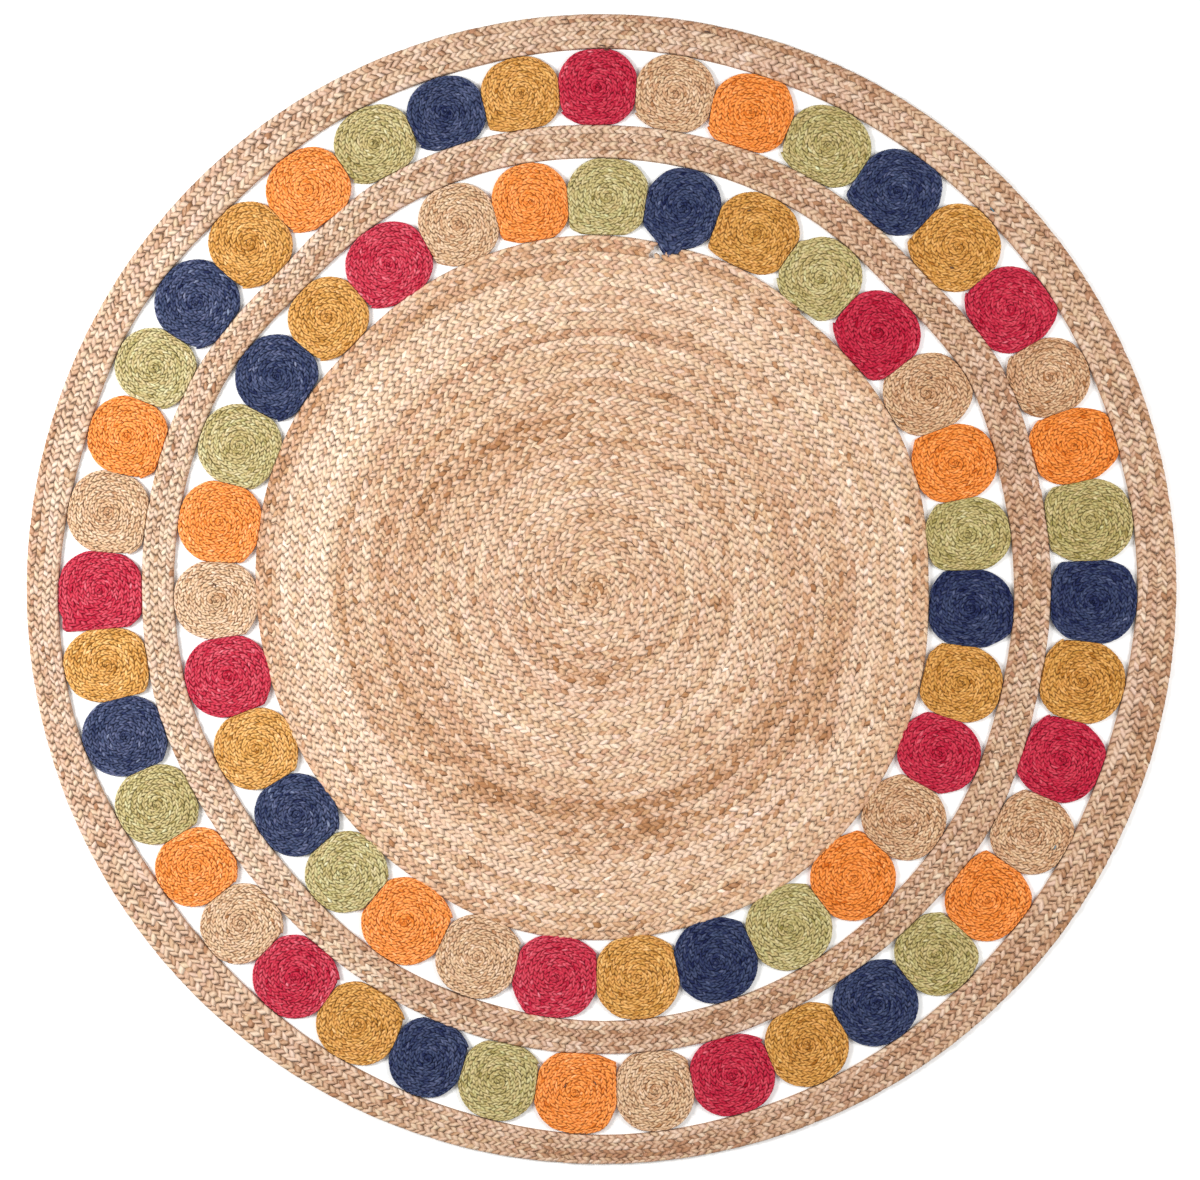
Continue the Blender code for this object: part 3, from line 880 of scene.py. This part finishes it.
def contactsOf(row, found):
    # for each disc of a row: the directions in which it is pressed flat, and how far off each side is
    edges = {"outer": (ringCurves("middle_ring")[1], ringCurves("border_ring")[0]),
             "inner": (matEdge, ringCurves("middle_ring")[0])}[row]
    curves = [outlineOf(middle, outline) for _, middle, outline in found]
    contacts = []
    for k, (_, middle, _) in enumerate(found):
        own = []
        for other in ((k - 1) % len(found), (k + 1) % len(found)):
            offset = found[other][1] - middle
            clock = math.degrees(math.atan2(*offset))
            mine, theirs = curves[k](clock), curves[other](clock + 180)
            gap = math.hypot(*offset) - mine - theirs
            if gap < disc["contact"] * mm:
                own.append((clock, mine + gap / 2 + disc["apart"] * mm))
        place, away = math.degrees(math.atan2(*middle)), math.hypot(*middle)
        for clock, room in ((place + 180, away - edges[0](place)), (place, edges[1](place) - away)):
            if (row, k + 1, clock > place) == freeTail:
                continue
            if room - curves[k](clock) < disc["contact"] * mm:
                own.append((clock, room))
        contacts.append(own)
    return contacts


def buildDisc(row, number, dye, node, middle, outline, contacts):
    # contacts: the directions in which it is pressed flat, and how far off each side is
    rng = np.random.default_rng(disc["seed"] * 1000 + number + disc["rowSeeds"][row])
    pressed = outlineOf(middle, outline)
    radii = np.hypot(*(outline - middle).T)
    place = math.degrees(math.atan2(*middle))
    corners = [(place + disc["endClock"], disc["endSpread"], disc["endCorner"] * radii.mean() / mm)]
    corners += discCorners[row].get(number, [])

    def edge(clock, share=1.0):
        # a coil's rounds: circles at the eye, then pressed to its outline, plump where it is free
        # and flat where it meets what is beside it
        plump = np.maximum(pressed(clock) * disc["swell"], disc["roundest"] * np.median(radii))
        for at, spread, push in corners:
            away = ((clock - at + 180) % 360 - 180) / spread
            plump = plump + push * mm * np.exp(-away ** 2)
        near = np.exp(-share * (radii.mean() * (1 - share ** 2) + plump * share ** 2) / disc["give"] / mm)
        for at, room in contacts:
            facing = np.cos(np.radians(clock - at))
            flat = room / np.maximum(facing, disc["facing"])
            near = near + np.where(facing > disc["facing"], np.exp(-flat / disc["give"] / mm), 0)
        return -disc["give"] * mm * np.log(near)

    def outlineAt(clock, share):
        return clockPoints(clock, edge(clock, share)) + middle

    first, settle = disc["firstTurn"], disc["settle"]
    turns = radii.mean() / (disc["braidWidth"] * mm) + settle / 2
    slope = 1 / (turns - settle / 2)

    def reach(turn):
        late = np.clip(turn - (turns - settle), 0, settle)
        return np.maximum(slope * (np.minimum(turn, turns - settle) + late - late ** 2 / (2 * settle)), 0)

    turn = np.linspace(first, turns, int((turns - first) * disc["stepsPerTurn"]))
    clock = place + disc["endClock"] + 360 * (turn - turns)
    outer, inner = outlineAt(clock, reach(turn)), outlineAt(clock, reach(turn - 1))
    path = braidPath(inner, outer)
    total = path["length"][-1]
    opens = coilOpens(path, turn, turns)
    shift = rng.normal(0, disc["dyeVaries"])
    shift += disc["sunSide"] * math.cos(math.radians(place - disc["sunClock"]))

    def lot(along, x, y):
        fromEye = np.hypot(x - middle[0], y - middle[1]) / (disc["eyeSpread"] * mm)
        drift = slowNoise(np.random.default_rng(number), along, disc["lotRun"] * mm)
        return shift - disc["eyeShade"] * np.exp(-fromEye ** 2) + disc["lotDepth"] * drift

    def tight(along):
        return tightness(disc, along / (disc["tightRun"] * mm))

    firstStitch = np.interp(disc["firstStitch"], turn, path["length"])
    part = plait(path, disc, rng, firstStitch, total, opens, lot=lot, scale=tight)
    name = f"{row}Disc_{number:02d}"
    yarn = "tan" if dye == "natural" else dye
    strands = layBraid(name, [part], yarn, node)
    core = coreOf(path, disc, 0.0, total, opens)
    rim = edge(np.arange(0, 360, 5))
    layCore(name + "_core", [core], yarn, node)


# sewing thread and small marks

thread = dict(
    seed=3,
    length=9.0,
    lengthVaries=(0.7, 1.1),
    width=1.2,
    height=0.9,
    apart=10.0,           # from stitch to stitch along a contact
    placeVaries=0.25,     # of that
    clockVaries=25,
    depth=2.6,            # how far a contact's stitches lie below the discs' crown
    looseLift=0.3,        # how far a loose thread's foot lies above it
    colour="#54382a",
    strayColour="#4d7486",
    roughness=0.6,
)
# Threads that show on top: where each lies from the rug's middle, the clock angle that it runs
# along, its length and its width.
looseThreads = (
    ((1, 864), 100, 12, 2.2), ((14, 862), 80, 11, 2.0), ((8, 857), 95, 10, 1.8),
    ((-614, 5), 150, 7, 1.8), ((-617, 8), 35, 6, 1.6), ((235, 602), 60, 7, 2.4), ((557, 511), 120, 8, 2.4),
    ((524, 336), 45, 7, 2.2), ((-58, -790), 30, 8, 2.2), ((-10, -786), 150, 8, 2.0), ((716, 517), 90, 6, 2.4),
    ((130, 892), 112, 10, 2.0), ((168, 886), 100, 12, 2.6), ((-60, 905), 88, 12, 2.0),
)
# Two blue-grey threads that strayed in from the dyed yarns.
strayThreads = (((621, 603), 140, 15, 1.8), ((721, -411), 20, 9, 2.0))


# A thread's two ends and three hoops: the share of its length, whether it has its width there, and
# how high its middle is against its height.
threadHoops = ((-0.5, 0, -0.5), (-0.28, 1, 0.6), (0.0, 1, 1.0), (0.28, 1, 0.6), (0.5, 0, -0.5))


def threadPart(middle, clock, length, width, height, lift):
    # one thread as a flat arch with pointed ends: points 0 and 13 are its ends, and its three
    # hoops of four points begin at 1, 5 and 9
    along = np.array([math.sin(math.radians(clock)), math.cos(math.radians(clock))])
    beside = np.array([along[1], -along[0]])
    points = []
    for share, wide, rise in threadHoops:
        at = np.asarray(middle) + along * length * share
        sides = ((0.0, 0.0),) if wide == 0 else ((-0.5, 0.0), (0.0, 0.5), (0.5, 0.0), (0.0, -0.5))
        for across, up in sides:
            place = at + beside * width * across
            points.append((place[0], place[1], lift + height * (rise + up)))
    faces = []
    for k in range(4):
        n = (k + 1) % 4
        faces += [(0, 1 + n, 1 + k), (13, 9 + k, 9 + n)]
        for hoop in (1, 5):
            faces += [(hoop + k, hoop + n, hoop + 4 + n), (hoop + k, hoop + 4 + n, hoop + 4 + k)]
    return np.array(points) * mm, np.array(faces)


def sewThreads(name, node, places, material):
    points, faces, count = [], [], 0
    for place in places:
        own, joins = threadPart(*place)
        points.append(own)
        faces.append(joins + count)
        count += len(own)
    points, faces = np.concatenate(points), np.concatenate(faces)
    if volumes(points, faces).sum() < 0:
        faces = faces[:, ::-1]
    piece = meshPiece(name, points, faces, material, {})
    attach(piece, "root")
    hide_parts(node)


def contactStitchesAndShade(found, contacts):
    # the dark stitches that hold each disc to the braids beside it and to the next disc; set at every
    # contact, they partly stand in for the shade there, as painted shade
    rng = np.random.default_rng(thread["seed"])
    places = []
    for (_, middle, _), own in zip(found, contacts):
        for clock, room in own:
            facing = np.array([math.sin(math.radians(clock)), math.cos(math.radians(clock))])
            beside = np.array([facing[1], -facing[0]])
            for step in (-1, 0, 1):
                shifted = step + rng.uniform(-thread["placeVaries"], thread["placeVaries"])
                at = (middle + facing * room) / mm + beside * thread["apart"] * shifted
                turned = clock + rng.uniform(-thread["clockVaries"], thread["clockVaries"])
                length = thread["length"] * rng.uniform(*thread["lengthVaries"])
                places.append((at, turned, length, thread["width"], thread["height"],
                               disc["crown"] - thread["depth"]))
    return places


buildMat()
for name, facts in ringRuns.items():
    buildRing(name, **facts)

# Waxed cotton, and yarn twisted hard: dull, with a slight gloss where they turn.
waxedCotton = plainMaterial("darkWaxedCotton", thread["colour"], thread["roughness"])
dyedThread = plainMaterial("greyBlueDyedYarn", thread["strayColour"], thread["roughness"])
for row, facts in rows.items():
    found = discOutlines(row)
    pressedAt = contactsOf(row, found)
    for number, (dye, place, contacts) in enumerate(zip(facts["dyes"], found, pressedAt), 1):
        buildDisc(row, number, dye, *place, contacts)
    stitches = contactStitchesAndShade(found, pressedAt)
    sewThreads(row + "Threads", facts["sewnTo"], stitches, waxedCotton)
    print(row, "row laid:", len(found), "discs,", len(stitches), "stitches")
for name, table, material in (("looseThreads", looseThreads, waxedCotton),
                              ("strayThreads", strayThreads, dyedThread)):
    sewThreads(name, "border_ring", [
        (at, clock, length, width, thread["height"], disc["crown"] + thread["looseLift"])
        for at, clock, length, width in table], material)
    print(name, "laid:", len(table))


# floor, light and camera

studio = dict(
    floorColour="#fbfbfa",
    floorRoughness=0.9,
    floorSize=120.0,      # m, so that no end of it shows from low down
    floorDrop=0.3,        # mm below the rug, so that the two don't lie in one plane
    worldColour="#ffffff",
    worldStrength=0.36,
    keyPlace=(-3.2, 0.5, 2.5),
    keySize=1.6,
    keyPower=183,
    fillPlace=(3.2, 0.3, 2.6),
    fillSize=2.2,
    fillPower=121,
    lens=85.0,            # mm
    sensorWidth=36.0,
    seesTo=50,            # m
    pictureWidth=1911.6,  # mm of floor that the picture takes in
    pictureMiddle=(-2.4, -1.6),
)


def buildStudio():
    half, drop = studio["floorSize"] / 2, -studio["floorDrop"] * mm
    mesh = bpy.data.meshes.new("floor")
    corners = [(x * half, y * half, drop) for x, y in ((-1, -1), (1, -1), (1, 1), (-1, 1))]
    mesh.from_pydata(corners, [], [(0, 1, 2, 3)])
    # a painted board, smooth and matt, so no grain shows
    mesh.materials.append(plainMaterial("mattPaintedFloor", studio["floorColour"], studio["floorRoughness"]))
    floor = addObject("floor", mesh)

    world = bpy.data.worlds.new("studioAir")
    world.use_nodes = True
    background = world.node_tree.nodes["Background"]
    background.inputs["Color"].default_value = linear(studio["worldColour"])
    background.inputs["Strength"].default_value = studio["worldStrength"]
    bpy.context.scene.world = world
    for name in ("key", "fill"):
        light = bpy.data.lights.new(name + "Softbox", "AREA")
        light.size = studio[name + "Size"]
        light.energy = studio[name + "Power"]
        lamp = addObject(name + "Softbox", light)
        lamp.location = studio[name + "Place"]
        lamp.rotation_euler = (-lamp.location).to_track_quat("-Z", "Y").to_euler()

    camera = bpy.data.cameras.new("camera")
    camera.lens = studio["lens"]
    camera.sensor_width = studio["sensorWidth"]
    camera.clip_end = studio["seesTo"]
    eye = addObject("camera", camera)
    height = studio["pictureWidth"] * mm * camera.lens / camera.sensor_width
    eye.location = (*(place * mm for place in studio["pictureMiddle"]), height)
    bpy.context.scene.camera = eye
    bpy.context.scene.view_settings.view_transform = "Standard"
    bpy.context.scene.view_settings.look = "None"


buildStudio()
print("floor, lights and camera set")
